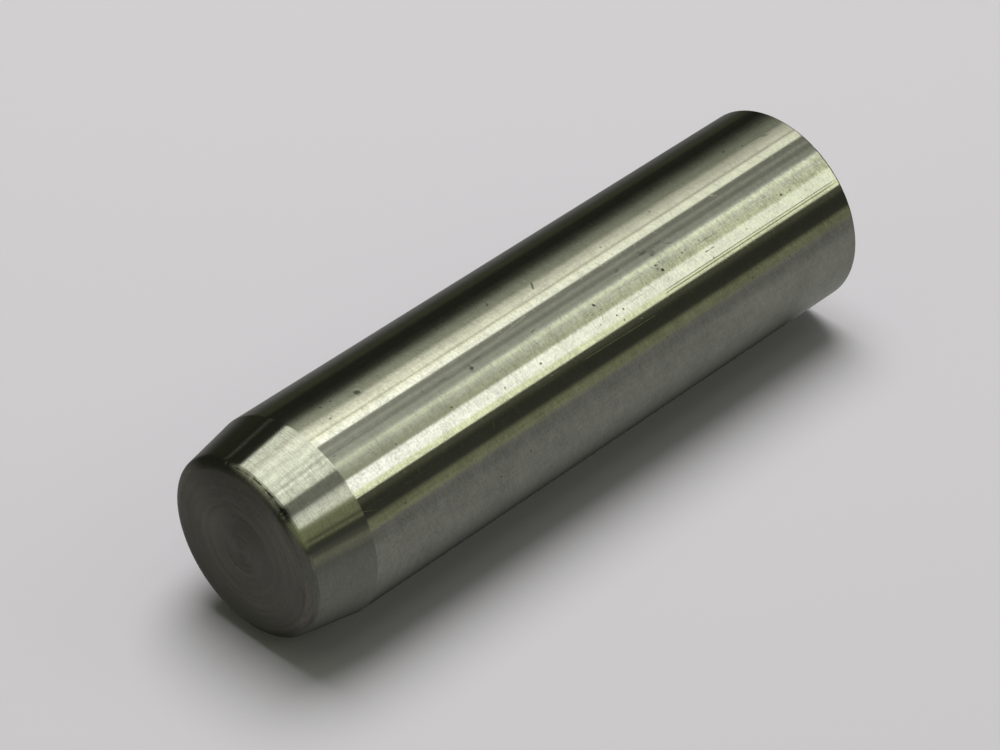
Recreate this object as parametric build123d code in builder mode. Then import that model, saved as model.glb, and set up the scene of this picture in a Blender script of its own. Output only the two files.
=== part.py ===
# Locking pin: one piece, turned from steel bar and ground to size on its shank.
#
# Units are millimetres. +Z runs along the axis, from the plain tail face that the pin
# stands on up to the nose. The origin is the centre of the tail face.
#
# The nose is a straight taper that leads the pin into its hole. Its rim is blended by
# hand into the nose face, so the corner is a quarter of a flat ellipse, wider across
# the face than it is tall, and tangent to both the face and the taper.

from build123d import *

import os
from math import atan, cos, degrees, radians, sin, tan

# ---- driving dimensions ----

shank_diameter = 23.4  # ground diameter, which sets the fit in the hole
overall_length = 82.0  # tail face to nose face
nose_length = 7.2  # height of the taper, its blended corner included
taper_half_angle = 11.0  # degrees, between the taper and the axis
corner_width = 1.4  # radial half-axis of the corner's ellipse
corner_height = 0.95  # axial half-axis of the corner's ellipse
tail_break = 0.3  # 45 degree break on the tail's rim

# ---- derived sizes ----

shank_radius = shank_diameter / 2
shank_end_z = overall_length - nose_length
slope = tan(radians(taper_half_angle))  # radius lost per millimetre of height

# The corner's ellipse touches the taper at this parameter, measured from its X axis.
corner_start = atan(corner_height * slope / corner_width)
corner_start_z = overall_length - corner_height * (1 - sin(corner_start))
corner_start_radius = shank_radius - (corner_start_z - shank_end_z) * slope
nose_face_radius = corner_start_radius - corner_width * cos(corner_start)

# ---- the pin ----

with BuildPart() as locking_pin:
    with BuildSketch(Plane.XZ):
        with BuildLine():
            tail = Line((0, 0), (shank_radius, 0))
            shank = Line(tail @ 1, (shank_radius, shank_end_z))
            corner = EllipticalCenterArc(
                center=(nose_face_radius, overall_length - corner_height),
                x_radius=corner_width,
                y_radius=corner_height,
                start_angle=degrees(corner_start),
                arc_size=90 - degrees(corner_start),
            )
            Line(shank @ 1, corner @ 0)
            nose_face = Line(corner @ 1, (0, overall_length))
            Line(nose_face @ 1, tail @ 0)
        make_face()
    revolve(axis=Axis.Z)

    tail_rim = locking_pin.edges().filter_by(GeomType.CIRCLE).sort_by(Axis.Z)[0]
    chamfer(tail_rim, length=tail_break)

locking_pin.part.label = "locking_pin"

os.makedirs("parts", exist_ok=True)
export_step(locking_pin.part, "parts/locking_pin.step")
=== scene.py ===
"""Locking pin: the finish of one turned and ground steel pin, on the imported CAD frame.

Metres, in the row's frame: +Z is the pin's axis, from the tail face at z = 0 up to the nose.
The pin is pictured lying on its side, so the stage lies along it: the floor is a plane that
touches the shank, and the camera's upward direction is the floor's normal.

Two coordinates place everything on the pin:
  from_nose  millimetres from the nose face towards the tail
  bearing    degrees around the axis, 0 straight up from the floor, growing to the camera's side
"""

from math import atan, atan2, cos, radians, sin, sqrt, tan

import bpy
import numpy as np
from mathutils import Matrix, Vector


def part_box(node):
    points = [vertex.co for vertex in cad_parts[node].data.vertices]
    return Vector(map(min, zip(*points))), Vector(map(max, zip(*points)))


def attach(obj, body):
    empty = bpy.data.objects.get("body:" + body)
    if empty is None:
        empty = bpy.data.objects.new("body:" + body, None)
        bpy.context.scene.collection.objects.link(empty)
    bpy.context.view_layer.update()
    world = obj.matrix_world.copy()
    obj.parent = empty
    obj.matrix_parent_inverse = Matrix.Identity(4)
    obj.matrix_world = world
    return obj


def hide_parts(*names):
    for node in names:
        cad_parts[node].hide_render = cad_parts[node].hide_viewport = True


MM = 0.001
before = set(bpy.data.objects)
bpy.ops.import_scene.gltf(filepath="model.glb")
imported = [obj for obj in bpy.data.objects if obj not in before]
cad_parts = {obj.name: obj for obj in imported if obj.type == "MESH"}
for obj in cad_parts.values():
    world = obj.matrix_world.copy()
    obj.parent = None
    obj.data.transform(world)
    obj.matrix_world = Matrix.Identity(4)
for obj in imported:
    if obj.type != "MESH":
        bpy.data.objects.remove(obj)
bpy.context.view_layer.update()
pin_low, pin_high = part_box("locking_pin")

# The two directions across the axis that bearings are measured from and towards.
FLOOR_UP = Vector((sqrt(0.5), -sqrt(0.5), 0.0))
CAMERA_SIDE = Vector((-sqrt(0.5), -sqrt(0.5), 0.0))

# Sizes in millimetres. The first two come from the frame, the rest are the part's own.
OVERALL_LENGTH = (pin_high[2] - pin_low[2]) / MM
SHANK_RADIUS = (pin_high[0] - pin_low[0]) / MM / 2
NOSE_LENGTH = 7.2
TAPER_SLOPE = tan(radians(11.0))  # millimetres of radius lost for each one of height
CORNER_WIDTH = 1.4
CORNER_HEIGHT = 0.95
TAIL_BREAK = 0.3
# The nose face falls away by a little, in a curve, over its outer few millimetres.
CROWN_DROP, CROWN_WIDTH = 0.14, 3.2


# Nodes ------------------------------------------------------------------------------------


class Nodes:
    """Short ways to add nodes to one tree. Except for add, each returns the node's output."""

    def __init__(self, tree):
        self.tree = tree
        tree.nodes.clear()

    def add(self, kind, inputs=(), **settings):
        """Add a node with its settings, and fill its inputs with values or with links."""
        node = self.tree.nodes.new(kind)
        for name, value in settings.items():
            setattr(node, name, value)
        for key, value in dict(inputs).items():
            if isinstance(value, bpy.types.NodeSocket):
                self.tree.links.new(value, node.inputs[key])
            else:
                node.inputs[key].default_value = value
        return node

    def math(self, operation, *values):
        return self.add("ShaderNodeMath", enumerate(values), operation=operation).outputs[0]

    def vector(self, operation, *values):
        node = self.add("ShaderNodeVectorMath", enumerate(values), operation=operation)
        return node.outputs["Value" if operation in ("DOT_PRODUCT", "LENGTH") else "Vector"]

    def scale(self, vector, factor):
        inputs = {"Vector": vector, "Scale": factor}
        return self.add("ShaderNodeVectorMath", inputs, operation="SCALE").outputs["Vector"]

    def xyz(self, x=0.0, y=0.0, z=0.0):
        return self.add("ShaderNodeCombineXYZ", {"X": x, "Y": y, "Z": z}).outputs[0]

    def place(self):
        """The place on the object, in millimetres."""
        return self.scale(self.add("ShaderNodeTexCoord").outputs["Object"], 1 / MM)

    def remap(self, value, start, end, low=0.0, high=1.0, smooth=True):
        kind = "SMOOTHSTEP" if smooth else "LINEAR"
        inputs = {0: value, 1: start, 2: end, 3: low, 4: high}
        return self.add("ShaderNodeMapRange", inputs, interpolation_type=kind).outputs[0]

    def noise(self, place, scale=1.0):
        return self.add("ShaderNodeTexNoise", {"Vector": place, "Scale": scale}).outputs["Fac"]

    def blend(self, factor, a, b):
        """A number between two others."""
        return self.add("ShaderNodeMix", {"Factor": factor, "A": a, "B": b}).outputs[0]

    def mix(self, factor, a, b):
        """A colour between two others. Its sockets come after those for numbers and vectors."""
        return self.add("ShaderNodeMix", {0: factor, 6: a, 7: b}, data_type="RGBA").outputs[2]


def new_material(name):
    """A material, and its nodes."""
    material = bpy.data.materials.new(name)
    material.use_nodes = True
    return material, Nodes(material.node_tree)


# The studio -------------------------------------------------------------------------------

# The light cards that the steel reflects stand around the pin in rows, from below the tail up
# to above the nose. A card gives the bearings of its two edges, how soft each edge is, and the
# tint and level of its light, or two of them where it changes from the row's top to its bottom.
# Each card hides what comes before it. The steel doesn't see the floor itself, so the cards at
# bearings past 90, which look down at it, paint its reflection, dimmed by painted shade where the
# pin's shade lies on it close to where they touch. First the tints, from the plain ones to the mossy.
PLAIN = (1.0, 1.0, 0.97)
WHITE = (1.01, 1.0, 1.03)
FACING = (1.04, 1.0, 0.97)
WARM = (1.0, 1.0, 0.84)
GREEN = (0.97, 1.0, 0.87)
YELLOW = (0.95, 1.0, 0.78)
STRAW = (0.96, 1.0, 0.7)
OLIVE = (0.96, 1.0, 0.62)
MOSS = (0.9, 1.0, 0.5)
BELOW = [
    (140, 181, 60, 1, (PLAIN, 0.15)),
    (-181, -130, 1, 40, (PLAIN, 0.15)),
    (-172, -100, 16, 20, (PLAIN, 0.42)),
]
LOW = [
    (-139, -108, 1, 64, (PLAIN, 0.21), (PLAIN, 0.175)),
    (-97, -84, 14, 8, (OLIVE, 0.05)),
    (-60, -40, 16, 10, (YELLOW, 0.035), (YELLOW, 0.08)),
    (-47, -8, 22, 3, (YELLOW, 0.47), (YELLOW, 0.24)),
    (-33.5, -8, 8, 3, (WARM, 1.2), (WARM, 0.52)),
    (-26, -8, 8, 3, (WARM, 1.6), (WARM, 0.72)),
    (-19.6, -17.9, 1.6, 1.6, (WARM, 1.0), (WARM, 0.45)),
    (-16.6, -7.6, 3, 3, (WARM, 1.85), (WARM, 1.1)),
    (-14, -7.6, 3, 3, (PLAIN, 1.9), (YELLOW, 1.1)),
    (-7.6, 58.8, 3, 2.6, (GREEN, 0.34), (GREEN, 0.21)),
    (-1, 3, 4, 4, (GREEN, 0.47), (GREEN, 0.33)),
    (8.5, 58.8, 4, 2.6, (GREEN, 0.52), (GREEN, 0.33)),
    (16.5, 58.8, 7, 2.6, (GREEN, 0.6), (GREEN, 1.02)),
    (18, 23, 3, 6, (YELLOW, 0.76), (YELLOW, 1.38)),
    (28, 58.8, 16, 2.6, (YELLOW, 0.25), (STRAW, 1.0)),
    (37.9, 58.8, 3.6, 2.6, (WHITE, 1.82), (YELLOW, 1.28)),
    (52, 58.8, 3, 2.6, (STRAW, 1.45), (STRAW, 1.12)),
    (60, 77, 3, 3, (YELLOW, 0.035)),
    (77, 85, 3, 3, (YELLOW, 0.042)),
    (59.5, 66, 2, 6, (STRAW, 0.085)),
    # From here on the cards paint the floor's reflection, darker as painted shade near the pin.
    (84.5, 100, 6, 1, (OLIVE, 0.19)),
    (88.5, 93.5, 3, 3, (OLIVE, 0.2), (OLIVE, 0.24)),
    (93, 177.5, 8, 75, (PLAIN, 0.2)),
    (98, 112, 12, 14, (PLAIN, 0.165)),
    (92, 96.5, 3, 3, (OLIVE, 0.27), (OLIVE, 0.2)),
    (-400, -182.5, 1, 75, (PLAIN, 0.2)),
]
MIDDLE = [
    (-136, -112, 12, 50, (PLAIN, 0.16)),
    (-64, -61, 3, 3, (YELLOW, 0.09)),
    (-42, 25.5, 4, 4, (GREEN, 1.08)),
    (-31, -26, 3, 3, (WARM, 0.9)),
    (-23, -16, 5, 5, (GREEN, 1.35)),
    (-9, -1, 5, 4, (GREEN, 1.29)),
    (3.2, 6.2, 2, 2, (GREEN, 1.32)),
    (7.2, 10.4, 2, 2, (GREEN, 0.82)),
    (10.4, 13.4, 2, 2, (GREEN, 1.45)),
    (14.2, 16.6, 2, 2, (GREEN, 1.02)),
    (16.6, 21, 2, 4, (GREEN, 1.22)),
    (25.5, 62, 4, 10, (GREEN, 0.22)),
    (40.5, 56, 6, 6, (GREEN, 0.8)),
    (46, 55, 6, 6, (GREEN, 0.94)),
    (54.5, 69, 6, 6, (OLIVE, 0.2)),
    (71.5, 75, 2.5, 3, (OLIVE, 0.17)),
    # From here on the cards paint the floor's reflection, darker as painted shade near the pin.
    (89.5, 99, 5, 8, (OLIVE, 0.17)),
    (92, 177, 60, 75, (PLAIN, 0.135)),
    (-400, -183, 1, 75, (PLAIN, 0.135)),
]
HIGH = [
    (-42, -16, 8, 12, (GREEN, 0.18)),
    (-18, 8, 10, 8, (GREEN, 1.0)),
    (4, 22, 8, 8, (GREEN, 0.55)),
    (40, 54, 8, 8, (GREEN, 0.2)),
    (52, 76, 6, 12, (MOSS, 0.34)),
    (84, 104, 6, 14, (OLIVE, 0.2)),
    (130, 181, 30, 1, (PLAIN, 0.065)),
    (100, 160, 16, 24, (PLAIN, 0.12)),
    (-181, -166, 1, 20, (PLAIN, 0.065)),
    (-140, -110, 12, 30, (PLAIN, 0.14)),
]
UPPER = [
    (-50, 22, 12, 10, (STRAW, 0.3)),
    (44, 76, 8, 12, (MOSS, 0.26)),
    (130, 181, 30, 1, (FACING, 0.06)),
    (84, 160, 10, 24, (PLAIN, 0.11)),
    (-181, -160, 1, 20, (FACING, 0.06)),
    (-139, -112, 14, 20, (FACING, 0.1)),
]
TOP = [
    (-60, 0, 14, 30, (STRAW, 0.26)),
    (-30, -10, 8, 10, (STRAW, 0.5)),
    (44, 80, 8, 14, (MOSS, 0.18)),
    (90, 181, 14, 1, (PLAIN, 0.11)),
    (-181, -132, 1, 14, (FACING, 0.11)),
]
ZENITH = [
    (-60, 0, 14, 30, (STRAW, 0.28)),
    (44, 80, 8, 14, (MOSS, 0.18)),
    (90, 181, 14, 1, (PLAIN, 0.11)),
    (-181, -150, 1, 14, (FACING, 0.11)),
]
DARK = (0.019, 0.02, 0.015)  # where no card is
# The rows above the lowest, each with the elevation that it starts at and how soft its edge is.
ROWS = [
    (LOW, -46, 4),
    (MIDDLE, -24, 7),
    (HIGH, -1, 9),
    (UPPER, 13, 8),
    (TOP, 28, 10),
    (ZENITH, 46, 14),
]
# The elevations between which a low card changes from its upper light to its lower.
LOW_ROW_TOP, LOW_ROW_BOTTOM = -30.0, -38.0
# The low cards' edges fan out downwards from one bearing, by a share per degree of elevation.
# The fan fades out between two bearings, either way round, before the floor's cards.
FAN_BEARING, FAN_ELEVATION, FAN = 59.5, -34.0, -0.0058
FAN_ENDS = (80.0, 90.0)

# Past the tail's end the floor is out of the pin's shade. A glowing card that only the steel's
# reflections see paints that lit floor there, as a painted reflection on the pin's lower side,
# and its fade paints the edge of the pin's shadow. In mm, the stretches over which that painted
# light fades: above the tail face, on the far side of the pin and on the camera's side. Then how
# far past the tail face it reaches.
LIT_END = (0.0, 5.5)
LIT_FAR_SIDE = (-30.0, -15.0)
LIT_NEAR_SIDE = (35.0, 50.0)
LIT_REACH = 60.0
# The colour of that painted light, which glows though it is no lamp.
PAINTED_LIT_COLOUR = (0.22, 0.22, 0.213)

FLOOR_COLOUR = (0.43, 0.42, 0.47)
FLOOR_REACH, BACKDROP_RADIUS = 4000.0, 3800.0  # mm
BACKDROP_COLOUR = (0.45, 0.45, 0.45)
# One soft lamp gives the floor the pin's shadow, from the far side and the tail's end.
LAMP_BEARING, LAMP_ELEVATION = radians(-13.0), radians(-8.0)
LAMP_DISTANCE, LAMP_SIZE, LAMP_WATTS = 0.8, 0.6, 8.0  # the first two in metres
LAMP_COLOUR = (1.0, 0.99, 0.93)


def row_light(nodes, bearing, descent, cards):
    """One row's light by bearing. descent is 0 for a card's upper light and 1 for its lower."""
    light = (*DARK, 1.0)
    for start, end, soft_start, soft_end, *shades in cards:
        opens = nodes.remap(bearing, start - soft_start / 2, start + soft_start / 2)
        closes = nodes.remap(bearing, end - soft_end / 2, end + soft_end / 2, 1.0, 0.0)
        colours = [(*(level * share for share in tint), 1.0) for tint, level in shades]
        colour = colours[0] if len(colours) == 1 else nodes.mix(descent, *colours)
        light = nodes.mix(nodes.math("MULTIPLY", opens, closes), light, colour)
    return light


def fanned_out(nodes, bearing, elevation):
    """The bearing by which the low cards are placed, so that their edges fan out."""
    drop = nodes.math("SUBTRACT", elevation, FAN_ELEVATION)
    spread = nodes.math("MULTIPLY_ADD", drop, FAN, 1.0)
    from_fan = nodes.math("DIVIDE", nodes.math("SUBTRACT", bearing, FAN_BEARING), spread)
    fanned = nodes.math("ADD", from_fan, FAN_BEARING)
    near_floor = nodes.remap(nodes.math("ABSOLUTE", bearing), *FAN_ENDS)
    return nodes.blend(near_floor, fanned, bearing)


def make_world():
    """The soft cards around the pin, which light it and which the steel reflects."""
    world = bpy.data.worlds.new("studio")
    bpy.context.scene.world = world
    world.use_nodes = True
    nodes = Nodes(world.node_tree)
    look = nodes.add("ShaderNodeTexCoord").outputs["Generated"]
    up = nodes.vector("DOT_PRODUCT", look, FLOOR_UP)
    side = nodes.vector("DOT_PRODUCT", look, CAMERA_SIDE)
    bearing = nodes.math("DEGREES", nodes.math("ARCTAN2", side, up))
    height = nodes.vector("DOT_PRODUCT", look, (0.0, 0.0, 1.0))
    elevation = nodes.math("DEGREES", nodes.math("ARCSINE", height))
    descent = nodes.remap(elevation, LOW_ROW_TOP, LOW_ROW_BOTTOM, smooth=False)

    light = row_light(nodes, bearing, descent, BELOW)
    for cards, start, soft in ROWS:
        across = fanned_out(nodes, bearing, elevation) if cards is LOW else bearing
        rises = nodes.remap(elevation, start - soft / 2, start + soft / 2)
        light = nodes.mix(rises, light, row_light(nodes, across, descent, cards))

    shader = nodes.add("ShaderNodeBackground", {"Color": light})
    nodes.add("ShaderNodeOutputWorld", {"Surface": shader.outputs[0]})


def seen_by(thing, *rays):
    """Hide a thing from all kinds of ray but these."""
    for ray in ("camera", "diffuse", "glossy", "transmission", "shadow"):
        setattr(thing, f"visible_{ray}", ray in rays)


def floor_plane(name, sides, heights):
    """A rectangle on the floor, facing up, between two sides and two heights in mm."""
    (left, right), (bottom, top) = sides, heights
    corners = [
        (CAMERA_SIDE * side - FLOOR_UP * SHANK_RADIUS + Vector((0.0, 0.0, height))) * MM
        for side, height in ((left, bottom), (left, top), (right, top), (right, bottom))
    ]
    mesh = bpy.data.meshes.new(name)
    mesh.from_pydata(corners, [], [(0, 1, 2, 3)])
    plane = bpy.data.objects.new(name, mesh)
    bpy.context.collection.objects.link(plane)
    return plane


def mix_shaders(nodes, share, first, second):
    """End a material in a mix of two shaders, by the share of the second."""
    mixed = nodes.add("ShaderNodeMixShader", {0: share, 1: first.outputs[0], 2: second.outputs[0]})
    nodes.add("ShaderNodeOutputMaterial", {"Surface": mixed.outputs[0]})


def make_floor():
    """The pale floor that the pin lies on. It is clear from below, so that no view is blocked."""
    floor = floor_plane("floor", (-FLOOR_REACH, FLOOR_REACH), (-FLOOR_REACH, FLOOR_REACH))
    seen_by(floor, "camera")
    material, nodes = new_material("pale_floor")
    matt = nodes.add("ShaderNodeBsdfDiffuse", {"Color": (*FLOOR_COLOUR, 1.0)})
    clear = nodes.add("ShaderNodeBsdfTransparent")
    below = nodes.add("ShaderNodeNewGeometry").outputs["Backfacing"]
    mix_shaders(nodes, below, matt, clear)
    floor.data.materials.append(material)


def make_painted_lit_floor():
    """A glowing card, the painted reflection of the lit floor past the tail, with a painted shadow
    edge.
    """
    lit = floor_plane("painted_lit_floor", (LIT_FAR_SIDE[0], LIT_NEAR_SIDE[1]), (-LIT_REACH, LIT_END[1]))
    seen_by(lit, "glossy")
    material, nodes = new_material("painted_lit_floor")
    place = nodes.place()
    height = nodes.add("ShaderNodeSeparateXYZ", {0: place}).outputs["Z"]
    side = nodes.vector("DOT_PRODUCT", place, CAMERA_SIDE)
    # The glow fades out up the pin as painted shadow, where the pin's shade begins, and at both sides.
    share = nodes.remap(height, *LIT_END, 1.0, 0.0)
    share = nodes.math("MULTIPLY", share, nodes.remap(side, *LIT_FAR_SIDE))
    share = nodes.math("MULTIPLY", share, nodes.remap(side, *LIT_NEAR_SIDE, 1.0, 0.0))
    clear = nodes.add("ShaderNodeBsdfTransparent")
    glow = nodes.add("ShaderNodeEmission", {"Color": (*PAINTED_LIT_COLOUR, 1.0)})
    mix_shaders(nodes, share, clear, glow)
    lit.data.materials.append(material)


def make_backdrop():
    """A pale dome behind the pin, for the views that look up past the floor."""
    bpy.ops.mesh.primitive_uv_sphere_add(radius=BACKDROP_RADIUS * MM)
    backdrop = bpy.context.object
    backdrop.name = "backdrop"
    seen_by(backdrop, "camera")
    material, nodes = new_material("pale_backdrop")
    glow = nodes.add("ShaderNodeEmission", {"Color": (*BACKDROP_COLOUR, 1.0)})
    nodes.add("ShaderNodeOutputMaterial", {"Surface": glow.outputs[0]})
    backdrop.data.materials.append(material)


def make_lamp():
    """A soft lamp that the polished steel doesn't mirror, because the cards stand for it."""
    outward = FLOOR_UP * cos(LAMP_BEARING) + CAMERA_SIDE * sin(LAMP_BEARING)
    place = outward * cos(LAMP_ELEVATION) + Vector((0.0, 0.0, sin(LAMP_ELEVATION)))
    data = bpy.data.lights.new("key", "AREA")
    data.shape = "DISK"
    data.size = LAMP_SIZE
    data.energy = LAMP_WATTS
    data.color = LAMP_COLOUR
    lamp = bpy.data.objects.new("key", data)
    lamp.location = place * LAMP_DISTANCE
    lamp.rotation_euler = place.to_track_quat("Z", "Y").to_euler()
    seen_by(lamp, "diffuse", "transmission", "shadow")
    bpy.context.collection.objects.link(lamp)


# The camera -------------------------------------------------------------------------------

# The lens is in millimetres and the distances are in metres.
LENS = 148.0
NEAREST = 0.01  # that the camera sees
VIEW_ELEVATION = radians(38.97)  # of the line of sight above the floor
VIEW_HEADING = radians(44.47)  # between the line of sight and the pin's axis, along the floor
VIEW_DISTANCE = 0.4379
VIEW_ROLL = radians(-0.2)
AIM_ALONG = 0.0435  # where the line of sight passes the axis, above the tail face
AIM_ASIDE = -0.00105  # how far to the camera's side of the axis it passes


def make_camera():
    """A long lens, placed by the line of sight that looks down at the pin."""
    ahead = Vector((0.0, 0.0, -cos(VIEW_HEADING))) - CAMERA_SIDE * sin(VIEW_HEADING)
    sight = ahead * cos(VIEW_ELEVATION) - FLOOR_UP * sin(VIEW_ELEVATION)
    aim = CAMERA_SIDE * AIM_ASIDE + Vector((0.0, 0.0, AIM_ALONG))
    right = sight.cross(FLOOR_UP).normalized()
    turned = Matrix((right, right.cross(sight), -sight)).transposed()
    lens = bpy.data.cameras.new("camera")
    lens.lens = LENS
    lens.clip_start = NEAREST
    camera = bpy.data.objects.new("camera", lens)
    place = Matrix.Translation(aim - sight * VIEW_DISTANCE)
    camera.matrix_world = place @ turned.to_4x4() @ Matrix.Rotation(VIEW_ROLL, 4, "Z")
    bpy.context.collection.objects.link(camera)
    bpy.context.scene.camera = camera


# Wear on the pin --------------------------------------------------------------------------

# Pits and smudges, from the nose down: from_nose, bearing, length and width in mm, turn from
# the axis in degrees, and darkness.
PITS = [
    (8.5, 26.3, 0.4, 0.3, 0, 0.5),
    (11.4, 7.9, 0.3, 0.3, 0, 0.6),
    (11.8, -1.3, 0.3, 0.35, 0, 0.8),
    (12.9, 65.5, 0.3, 0.25, 0, 0.5),
    (13.2, -1.3, 0.3, 0.3, 0, 0.7),
    (15.1, 37.9, 0.3, 0.2, 0, 0.5),
    (16.0, 91.8, 0.3, 0.2, 0, 0.5),
    (16.1, 2.7, 0.8, 0.7, 30, 0.8),
    (21.5, 22.6, 0.4, 0.25, 0, 0.4),
    (23.1, 37.5, 0.35, 0.25, 0, 0.6),
    (24.3, 23.2, 1.3, 0.25, 0, 0.35),
    (25.7, 84.5, 0.35, 0.25, 0, 0.5),
    (28.0, 24.9, 0.25, 0.5, 0, 0.5),
    (28.05, 26.3, 0.6, 0.55, 0, 0.8),
    (29.3, 23.4, 1.8, 0.25, 0, 0.35),
    (29.9, 43.8, 0.3, 0.2, 0, 0.5),
    (30.2, 81.2, 0.35, 0.2, 40, 0.5),
    (30.7, 35.5, 1.1, 0.12, -14, 0.3),
    (35.3, 43.4, 0.3, 0.25, 0, 0.8),
    (35.6, -0.4, 0.8, 0.22, -60, 0.7),
    (36.9, 27.2, 0.8, 0.2, -15, 0.5),
    (41.2, 5.2, 1.4, 0.28, -57, 0.7),
    (44.1, 36.9, 0.3, 0.2, 0, 0.4),
    (44.4, 43.4, 0.25, 0.2, 0, 0.8),
    (45.0, 32.9, 0.4, 0.35, 45, 0.8),
    (45.5, 37.0, 0.25, 0.2, 0, 0.35),
    (46.75, 43.8, 0.25, 0.25, 0, 0.9),
    (47.0, 73.8, 0.3, 0.3, 0, 0.3),
    (47.3, 48.0, 0.3, 0.25, 30, 0.8),
    (47.9, 43.1, 0.25, 0.25, 0, 0.9),
    (50.2, 24.1, 0.8, 0.35, -15, 0.5),
    (51.1, 7.8, 0.4, 0.3, 0, 0.5),
    (51.7, 68.7, 0.3, 0.25, 0, 0.5),
    (54.0, 22.0, 0.7, 0.3, 20, 0.35),
    (54.3, 23.7, 1.3, 0.45, 0, 0.6),
    (54.5, 35.2, 0.5, 0.15, -20, 0.35),
    (54.6, 33.0, 0.5, 0.25, 10, 0.5),
    (55.0, 36.9, 0.45, 0.4, 0, 0.85),
    (55.1, 27.3, 0.6, 0.35, 0, 0.5),
    (55.2, 32.3, 0.5, 0.15, 30, 0.45),
    (55.3, 26.2, 0.9, 0.8, 0, 0.35),
    (55.4, 34.3, 0.6, 0.12, -40, 0.4),
    (56.7, 23.2, 1.2, 0.3, 0, 0.3),
    (57.7, 26.4, 1.3, 0.25, 25, 0.3),
    (58.4, 34.9, 0.35, 0.25, 0, 0.45),
    (59.0, 34.6, 0.25, 0.2, 0, 0.35),
    (59.3, 5.4, 0.3, 0.3, 0, 0.5),
    (61.2, 34.2, 0.3, 0.3, 0, 0.3),
    (61.3, 41.3, 0.8, 0.14, 0, 0.75),
    (61.6, 45.9, 0.25, 0.2, 0, 0.8),
    (62.1, 41.3, 0.7, 0.13, 0, 0.65),
    (65.4, 67.2, 0.3, 0.2, 0, 0.4),
    (67.4, 42.9, 0.25, 0.2, 0, 0.6),
    (71.3, 68.4, 0.3, 0.25, 0, 0.6),
    (72.3, 69.7, 0.25, 0.2, 0, 0.5),
    (72.9, -2.5, 0.4, 0.35, 0, 0.8),
    (73.9, 37.5, 0.4, 0.3, 40, 0.7),
    (75.2, 1.2, 0.4, 0.3, 0, 0.6),
    (75.3, 37.9, 0.3, 0.3, 0, 0.3),
    (77.9, 1.8, 6.8, 0.1, 0, 0.45),
    (78.4, 3.3, 1.0, 0.4, 15, 0.5),
]
# Scratches: from_nose and bearing of one end, then of the other, width in mm, and strength.
SCRATCHES = [
    (7.4, 23.7, 16.0, 23.5, 0.1, 0.25),
    (7.8, 57.0, 9.7, 61.0, 0.09, 0.6),
    (14.2, 51.5, 14.5, 51.9, 0.2, 0.5),
    (20.2, -14.9, 20.6, -14.5, 0.2, 0.5),
    (33.0, 20.5, 37.6, 18.1, 0.12, 0.9),
    (40.2, 54.0, 51.3, 54.8, 0.1, 1.0),
    (49.2, 51.8, 49.6, 52.4, 0.25, 0.6),
    (53.4, 46.6, 81.6, 46.4, 0.1, 0.9),
    (53.4, 48.1, 81.6, 47.9, 0.12, 1.0),
    (66.4, 17.0, 67.2, 18.8, 0.1, 0.6),
]
# Notches worn into a rim: bearing, width in degrees, and depth in mm.
TAIL_NOTCHES = [(24.6, 2.0, 0.12), (33.0, 2.0, 0.05), (37.5, 2.5, 0.06)]
NOSE_NOTCHES = [
    (-12.0, 2.5, 0.04),
    (3.0, 2.0, 0.03),
    (8.5, 2.5, 0.04),
    (14.0, 1.5, 0.05),
    (20.0, 1.5, 0.04),
    (25.5, 2.5, 0.03),
    (36.5, 5.0, 0.06),
]
# Each rim's notches, with the height of their middle and how far they reach along the axis.
RIMS = [(TAIL_NOTCHES, 0.12, 0.5), (NOSE_NOTCHES, OVERALL_LENGTH - 0.55, 1.0)]
# Tool marks ringing the nose's corner: from_nose of the middle, width and depth in mm.
NOSE_RINGS = [(0.84, 0.2, 0.012), (0.58, 0.22, 0.008)]
# The taper was turned a little out of true, so it reaches further down the shank on one side:
# by how much on average, by how much more at one bearing, and which. This fades out towards the
# nose's corner, and over this last length of the shank.
TAPER_DROP, TAPER_LEAN, TAPER_LEAN_BEARING, TAPER_FOLLOW = 0.37, 0.28, 100.0, 5.0
DENT_LENGTH, DENT_DARKNESS = 0.5, 0.8  # a pit at least this long and this dark is a dent
DENT_SPAN, DENT_DEPTH = 1.6, 0.02  # of its hollow, as multiples of the dent's own length
# Pits on the nose face: to the camera's side of its middle, up from it, length and width in mm,
# turn in degrees, and darkness.
FACE_PITS = [(-1.04, -2.4, 0.35, 0.2, -40, 0.9)]
# Dark nicks around the nose's corner: bearing, distance from the axis, length around it and
# width across it in mm, and darkness.
CORNER_NICKS = [
    (-3.0, 10.28, 0.9, 0.14, 0.7),
    (4.0, 10.34, 0.7, 0.08, 0.6),
    (12.5, 10.36, 1.6, 0.13, 0.95),
    (22.5, 10.35, 1.4, 0.13, 1.0),
    (35.5, 10.3, 1.6, 0.34, 0.95),
]


# The pin's shape --------------------------------------------------------------------------

# The finishes, in the order of the mesh's material slots.
TAIL_FACE, SHANK, TAPER, CORNER, NOSE_FACE = range(5)
SEGMENTS = 400
BREAK_RINGS = (0.1, 0.5, 0.9)  # as shares of the tail's break
SHANK_RINGS = 64
TAPER_RINGS = 17
CORNER_RINGS = 24
FACE_RINGS = 25
TAIL_FACE_RING_GAP, DENT_RING_GAP = 2.0, 0.11
EDGE_GUARD = 0.05  # from an edge to the rings that keep its shading crisp


def dents():
    """The pits that are deep enough to be in the shape too."""
    return [pit for pit in PITS if pit[2] >= DENT_LENGTH and pit[5] >= DENT_DARKNESS]


def shank_heights(start, end):
    """Ring heights along the shank, closer together where a dent needs them."""
    heights = set(np.linspace(start, end, SHANK_RINGS))
    for from_nose, _, length, *_ in dents():
        middle = OVERALL_LENGTH - from_nose
        heights |= set(np.arange(middle - length, middle + length, DENT_RING_GAP))
    spaced = [start]
    for height in sorted(heights):
        if height - spaced[-1] > DENT_RING_GAP / 2:
            spaced.append(height)
    spaced[-1] = end
    return spaced


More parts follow.
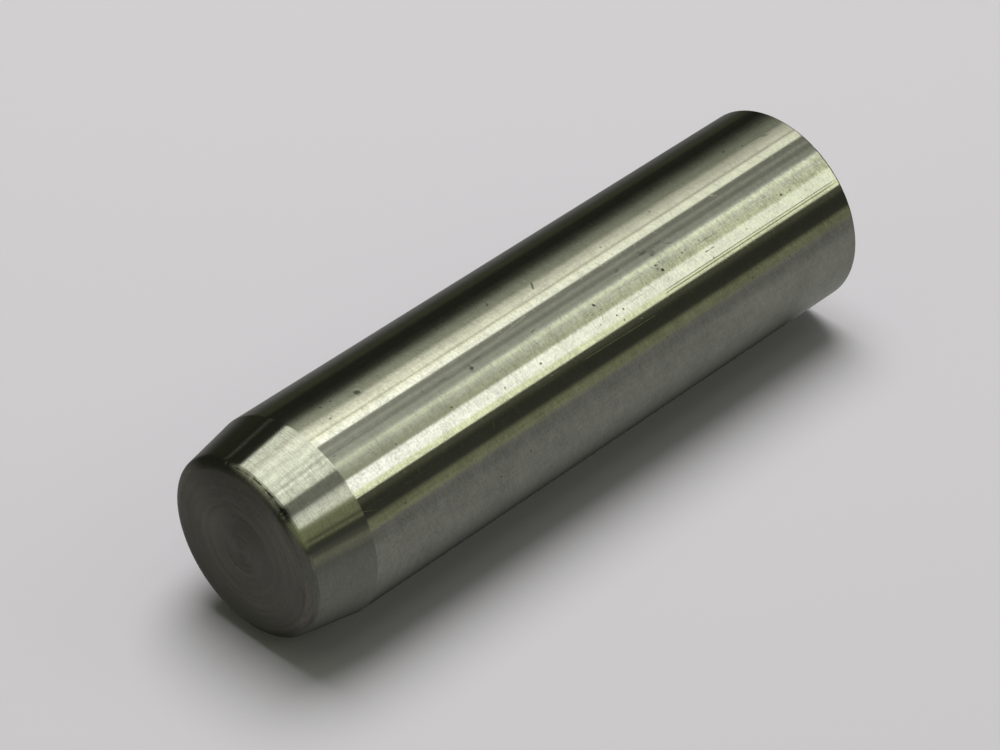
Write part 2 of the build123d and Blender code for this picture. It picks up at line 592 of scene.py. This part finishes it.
def profile():
    """Rings from the tail face's middle to the nose face's middle: z, radius and finish."""
    tail_radius = SHANK_RADIUS - TAIL_BREAK
    rings = [(0.0, radius, TAIL_FACE) for radius in np.arange(0.0, tail_radius, TAIL_FACE_RING_GAP)]
    rings.append((0.0, tail_radius - EDGE_GUARD, CORNER))
    for share in BREAK_RINGS:
        rings.append((TAIL_BREAK * share, tail_radius + TAIL_BREAK * share, CORNER))

    # Two rings close together each side of an edge keep the shading flat up to it.
    shank_end = OVERALL_LENGTH - NOSE_LENGTH
    rings.append((TAIL_BREAK + EDGE_GUARD, SHANK_RADIUS, SHANK))
    for z in shank_heights(TAIL_BREAK + 2 * EDGE_GUARD, shank_end - 2 * EDGE_GUARD):
        rings.append((z, SHANK_RADIUS, SHANK))
    rings.append((shank_end - EDGE_GUARD, SHANK_RADIUS, TAPER))

    steep = atan(CORNER_HEIGHT * TAPER_SLOPE / CORNER_WIDTH)
    crown_slope = 2 * CROWN_DROP / CROWN_WIDTH
    shallow = atan(CORNER_HEIGHT / (CORNER_WIDTH * crown_slope))
    corner_top = OVERALL_LENGTH - CROWN_DROP + CORNER_HEIGHT * (1 - sin(shallow))
    corner_start = corner_top - CORNER_HEIGHT * (1 - sin(steep))
    taper_end_radius = SHANK_RADIUS - TAPER_SLOPE * (corner_start - shank_end)
    corner_middle = taper_end_radius - CORNER_WIDTH * cos(steep)
    evenly = np.linspace(shank_end + 2 * EDGE_GUARD, corner_start, TAPER_RINGS, endpoint=False)
    for z in (shank_end + EDGE_GUARD, *evenly):
        rings.append((z, SHANK_RADIUS - TAPER_SLOPE * (z - shank_end), TAPER))
    for turn in np.linspace(steep, shallow, CORNER_RINGS):
        z = corner_top - CORNER_HEIGHT * (1 - sin(turn))
        rings.append((z, corner_middle + CORNER_WIDTH * cos(turn), CORNER))
    face_radius = rings[-1][1]
    rings[-1] = rings[-1][:2] + (NOSE_FACE,)
    for radius in np.linspace(face_radius, 0.0, FACE_RINGS)[1:]:
        outer = max(0.0, 1 - (face_radius - radius) / CROWN_WIDTH)
        rings.append((OVERALL_LENGTH - CROWN_DROP * outer * outer, radius, NOSE_FACE))
    return rings


def hump(value, middle, width):
    """A smooth hump, 1 at the middle and 0 half a width away."""
    near = np.clip(1 - np.abs(value - middle) / (width / 2), 0, 1)
    return near * near * (3 - 2 * near)


def worn_in(z, radius, bearing):
    """How far the surface of one ring is worn in towards the axis, in mm, at each bearing."""
    depth = np.zeros_like(bearing)
    for from_nose, middle, length, width, turn, darkness in dents():
        ahead = OVERALL_LENGTH - from_nose - z
        aside = radius * np.radians(bearing - middle)
        turned = radians(turn)
        along = (ahead * cos(turned) + aside * sin(turned)) / length
        across = (aside * cos(turned) - ahead * sin(turned)) / width
        depth += hump(np.hypot(along, across), 0, DENT_SPAN) * length * DENT_DEPTH
    for notches, middle, reach in RIMS:
        at_rim = hump(z, middle, reach)
        for notch, width, most in notches:
            depth += at_rim * most * hump(bearing, notch, width)
    for from_nose, width, most in NOSE_RINGS:
        depth += most * hump(z, OVERALL_LENGTH - from_nose, width)
    return depth


def taper_drop(z, bearing):
    """How far below its place in the profile a ring lies, in mm, at each bearing."""
    edge = OVERALL_LENGTH - NOSE_LENGTH
    share = np.interp(z, (edge - TAPER_FOLLOW, edge, OVERALL_LENGTH - CORNER_HEIGHT), (0, 1, 0))
    return share * (TAPER_DROP + TAPER_LEAN * np.cos(np.radians(bearing - TAPER_LEAN_BEARING)))


def pin_mesh():
    """One closed mesh around the axis, worn, with each face's finish as its material slot."""
    rings = profile()
    bearing = np.linspace(-180, 180, SEGMENTS, endpoint=False)
    turn = np.radians(bearing)
    outward = np.outer(np.cos(turn), FLOOR_UP) + np.outer(np.sin(turn), CAMERA_SIDE)
    points = [np.array([[0.0, 0.0, rings[0][0]]])]
    for z, radius, _ in rings[1:-1]:
        ring = outward * (radius - worn_in(z, radius, bearing))[:, None]
        ring[:, 2] = z - taper_drop(z, bearing)
        points.append(ring)
    points.append(np.array([[0.0, 0.0, rings[-1][0]]]))
    points = np.concatenate(points) * MM

    # One row of faces climbs from each ring to the next, and each end closes on its middle.
    faces, finish = [], []
    last = len(points) - 1
    for k in range(len(rings) - 1):
        base = 1 + (k - 1) * SEGMENTS
        for j in range(SEGMENTS):
            after = (j + 1) % SEGMENTS
            if k == 0:
                faces.append((0, 1 + j, 1 + after))
            elif k == len(rings) - 2:
                faces.append((base + j, last, base + after))
            else:
                above = base + SEGMENTS
                faces.append((base + j, above + j, above + after, base + after))
            finish.append(rings[k][2])

    mesh = bpy.data.meshes.new("pin")
    mesh.from_pydata(points.tolist(), [], faces)
    mesh.polygons.foreach_set("material_index", finish)
    mesh.polygons.foreach_set("use_smooth", [True] * len(faces))
    mesh.update()
    return mesh


# The steel --------------------------------------------------------------------------------

STEEL = (0.565, 0.565, 0.5)  # its colour
MICROMETRE = MM * MM
NOISE_MIDDLE, NOISE_SPREAD = 0.5, 0.11  # of Blender's noise
QUARTER_TURN = 0.25
MARK_FADE = (0.6, 1.1)  # shares of a mark's size between which it fades out
END_SHARPNESS = 8.0  # of a scratch's ends
# How far a pit's outline wanders, in mm from side to side, and the scale of the noise for it.
SHANK_PIT_BLUR, END_PIT_BLUR, PIT_NOISE = 0.25, 0.125, 5.0
PIT_DARKENING, PIT_ROUGHENING = 0.85, 0.5
SCRATCH_ROUGHNESS = 0.45
# The levels of noise where a hairline starts and is full, its depth in micrometres, and how far
# it brings the roughness to a scratch's.
HAIRLINE_LEVELS, HAIRLINE_DEPTH, HAIRLINE_ROUGHENING = (0.66, 0.79), 0.4, 0.5


def mark_group(square_ends):
    """Nodes for one mark on the unrolled surface: 1 inside, fading out over its edge.

    It is an oval, or with square ends a line that keeps its width to both ends.
    """
    tree = bpy.data.node_groups.new("line" if square_ends else "oval", "ShaderNodeTree")
    for name, kind in (
        ("Place", "NodeSocketVector"),
        ("Centre", "NodeSocketVector"),
        ("Turn", "NodeSocketFloat"),
        ("Scale", "NodeSocketVector"),
        ("Strength", "NodeSocketFloat"),
    ):
        tree.interface.new_socket(name, in_out="INPUT", socket_type=kind)
    tree.interface.new_socket("Mask", in_out="OUTPUT", socket_type="NodeSocketFloat")
    nodes = Nodes(tree)
    given = nodes.add("NodeGroupInput").outputs
    inputs = {"Vector": given["Place"], "Center": given["Centre"], "Angle": given["Turn"]}
    turned = nodes.add("ShaderNodeVectorRotate", inputs, rotation_type="Z_AXIS").outputs[0]
    off = nodes.vector("SUBTRACT", turned, given["Centre"])
    off = nodes.vector("MULTIPLY", off, given["Scale"])
    if square_ends:
        ends = nodes.add("ShaderNodeSeparateXYZ", {0: nodes.vector("ABSOLUTE", off)}).outputs
        off = nodes.xyz(nodes.math("POWER", ends["X"], END_SHARPNESS), ends["Y"])
    inside = nodes.remap(nodes.vector("LENGTH", off), *MARK_FADE, 1.0, 0.0)
    mask = nodes.math("MULTIPLY", inside, given["Strength"])
    nodes.add("NodeGroupOutput", {"Mask": mask})
    return tree


def mark_mask(nodes, place, marks, square_ends=False):
    """The strongest of the marks at a place. Each is its centre, size, turn and strength."""
    group = mark_group(square_ends)
    strongest = 0.0
    for centre, length, width, turn, strength in marks:
        inputs = {
            "Place": place,
            "Centre": centre,
            "Turn": turn,
            "Scale": (2 / length, 2 / width, 0.0),
            "Strength": strength,
        }
        mask = nodes.add("ShaderNodeGroup", inputs, node_tree=group).outputs[0]
        strongest = nodes.math("MAXIMUM", strongest, mask)
    return strongest


def unrolled(from_nose, bearing):
    """A place on the shank, laid out flat in mm."""
    return Vector((from_nose, radians(bearing) * SHANK_RADIUS, 0.0))


def shank_pits():
    return [
        (unrolled(from_nose, bearing), length, width, radians(-turn), darkness)
        for from_nose, bearing, length, width, turn, darkness in PITS
    ]


def face_pits():
    return [
        (Vector((side, up, 0.0)), length, width, radians(-turn), darkness)
        for side, up, length, width, turn, darkness in FACE_PITS
    ]


def corner_nicks():
    nicks = []
    for bearing, radius, length, width, darkness in CORNER_NICKS:
        turn = radians(bearing)
        nicks.append((Vector((sin(turn), cos(turn), 0.0)) * radius, length, width, turn, darkness))
    return nicks


def shank_scratches():
    lines = []
    for from_nose, bearing, to_nose, to_bearing, width, strength in SCRATCHES:
        start, end = unrolled(from_nose, bearing), unrolled(to_nose, to_bearing)
        run = end - start
        lines.append(((start + end) / 2, run.length, width, -atan2(run.y, run.x), strength))
    return lines


def steel(
    name, roughness, layers, tint=1.0, anisotropy=1.0, pits=(), scratches=(), hairlines=(), shank=False
):
    """Bright steel cut in circles around the axis, so that it blurs reflections along it.

    layers are the cutter's marks: how long around the axis and how wide along it, in mm, how
    much they change the colour and the roughness, how deep they are in micrometres, and how far
    they step along the axis for each millimetre around it. Marks on the shank are placed on it
    unrolled, and marks on an end by how far to the camera's side of the axis and up from it.
    """
    material, nodes = new_material(name)
    place = nodes.place()
    z = nodes.add("ShaderNodeSeparateXYZ", {0: place}).outputs["Z"]
    radius = nodes.vector("LENGTH", nodes.vector("MULTIPLY", place, (1.0, 1.0, 0.0)))
    along = nodes.math("SUBTRACT", z, radius)
    side = nodes.vector("DOT_PRODUCT", place, CAMERA_SIDE)
    up = nodes.vector("DOT_PRODUCT", place, FLOOR_UP)
    arc = nodes.math("MULTIPLY", nodes.math("ARCTAN2", side, up), SHANK_RADIUS)

    def cuts(length, width, slant):
        around = nodes.vector("MULTIPLY", place, (1 / length, 1 / length, 0.0))
        step = nodes.math("MULTIPLY_ADD", arc, slant, along) if slant else along
        onward = nodes.xyz(z=nodes.math("DIVIDE", step, width))
        return nodes.noise(nodes.vector("ADD", around, onward))

    shade, rough, height = 1.0, roughness, 0.0
    for length, width, contrast, roughening, depth, slant in layers:
        cut = nodes.math("SUBTRACT", cuts(length, width, slant), NOISE_MIDDLE)
        shade = nodes.math("MULTIPLY_ADD", cut, contrast / NOISE_SPREAD, shade)
        rough = nodes.math("MULTIPLY_ADD", cut, -roughening / NOISE_SPREAD, rough)
        height = nodes.math("MULTIPLY_ADD", cut, depth / NOISE_SPREAD, height)

    for line in hairlines:
        strength = nodes.remap(cuts(*line), *HAIRLINE_LEVELS)
        height = nodes.math("MULTIPLY_ADD", strength, -HAIRLINE_DEPTH, height)
        share = nodes.math("MULTIPLY", strength, HAIRLINE_ROUGHENING)
        rough = nodes.blend(share, rough, SCRATCH_ROUGHNESS)

    if shank:
        flat = nodes.xyz(nodes.math("SUBTRACT", OVERALL_LENGTH, z), arc)
    else:
        flat = nodes.xyz(side, up)
    if pits:
        blur = SHANK_PIT_BLUR if shank else END_PIT_BLUR
        ragged = nodes.math("MULTIPLY_ADD", nodes.noise(place, PIT_NOISE), blur, -blur / 2)
        dark = mark_mask(nodes, nodes.vector("ADD", flat, nodes.xyz(ragged, ragged)), pits)
        shade = nodes.math("MULTIPLY", shade, nodes.math("MULTIPLY_ADD", dark, -PIT_DARKENING, 1.0))
        marked = nodes.math("MULTIPLY", dark, PIT_ROUGHENING)
        if scratches:
            lines = mark_mask(nodes, flat, scratches, square_ends=True)
            marked = nodes.math("MAXIMUM", marked, lines)
        rough = nodes.blend(marked, rough, SCRATCH_ROUGHNESS)

    bump = nodes.add("ShaderNodeBump", {"Height": height, "Distance": MICROMETRE})
    tangent = nodes.add("ShaderNodeTangent", direction_type="RADIAL", axis="Z")
    inputs = {
        "Base Color": nodes.scale(tuple(share * tint for share in STEEL), shade),
        "Metallic": 1.0,
        "Roughness": rough,
        "Anisotropic": anisotropy,
        "Anisotropic Rotation": QUARTER_TURN,
        "Tangent": tangent.outputs[0],
        "Normal": bump.outputs[0],
    }
    shader = nodes.add("ShaderNodeBsdfPrincipled", inputs)
    nodes.add("ShaderNodeOutputMaterial", {"Surface": shader.outputs[0]})
    return material


# The layers of each finish.
GROUND = [
    (0.3, 0.35, 0.033, 0.01, 0.02, 0.0),
    (0.2, 0.2, 0.02, 0.01, 0.02, 0.0),
    (0.9, 0.12, 0.025, 0.01, 0.04, 0.0),
    (2.4, 0.14, 0.025, 0.01, 0.04, 0.4),
    (0.35, 4.0, 0.02, 0.005, 0.0, 0.0),
    (1.5, 0.9, 0.03, 0.005, 0.0, 0.0),
    (5.0, 3.0, 0.03, 0.004, 0.0, 0.0),
]
TURNED = [
    (0.25, 0.25, 0.035, 0.01, 0.05, 0.0),
    (1.6, 0.16, 0.045, 0.01, 0.1, 0.0),
    (0.2, 3.0, 0.03, 0.01, 0.05, 0.0),
    (1.0, 0.8, 0.02, 0.01, 0.1, 0.0),
]
FACED = [
    (0.3, 0.3, 0.03, 0.01, 0.1, 0.0),
    (12.0, 0.7, 0.03, 0.01, 0.35, 0.0),
    (6.0, 0.35, 0.02, 0.01, 0.12, 0.0),
    (7.0, 7.0, 0.07, 0.01, 0.0, 0.0),
]
BLENDED = [
    (0.5, 0.3, 0.04, 0.015, 0.0, 0.0),
    (0.7, 0.14, 0.03, 0.01, 0.05, 0.0),
    (2.5, 0.25, 0.05, 0.015, 0.3, 0.0),
]
# Stray hairlines, some around the axis, some slanted and some along it, and specks: how long
# they are around the axis and how wide along it, in mm, and how far they step along it.
HAIRLINES = [
    (1.5, 0.1, 0.0),
    (2.2, 0.1, 0.5),
    (2.2, 0.1, -0.4),
    (0.1, 6.0, 0.0),
    (0.16, 0.14, 0.0),
]


def make_pin():
    """The pin, shown in place of the CAD solid, with its five finishes."""
    mesh = pin_mesh()
    marks = {"pits": shank_pits(), "scratches": shank_scratches(), "hairlines": HAIRLINES}
    # The faced ends are coloured darker. On the nose face that is partly painted shade, standing in
    # for the shaded floor that it mirrors.
    face = {"tint": 0.85, "anisotropy": 0.6}
    finishes = {
        TAIL_FACE: steel("faced_tail", 0.35, FACED, **face),
        SHANK: steel("ground_shank", 0.11, GROUND, **marks, shank=True),
        TAPER: steel("turned_taper", 0.16, TURNED, tint=1.05),
        CORNER: steel("blended_corner", 0.24, BLENDED, tint=0.9, pits=corner_nicks()),
        NOSE_FACE: steel("faced_nose", 0.23, FACED, **face, pits=face_pits()),
    }
    for finish in sorted(finishes):
        mesh.materials.append(finishes[finish])
    pin = bpy.data.objects.new("pin", mesh)
    bpy.context.collection.objects.link(pin)
    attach(pin, "root")
    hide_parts("locking_pin")


make_world()
make_floor()
make_painted_lit_floor()
make_backdrop()
make_lamp()
make_camera()
make_pin()
bpy.context.scene.view_settings.view_transform = "Standard"
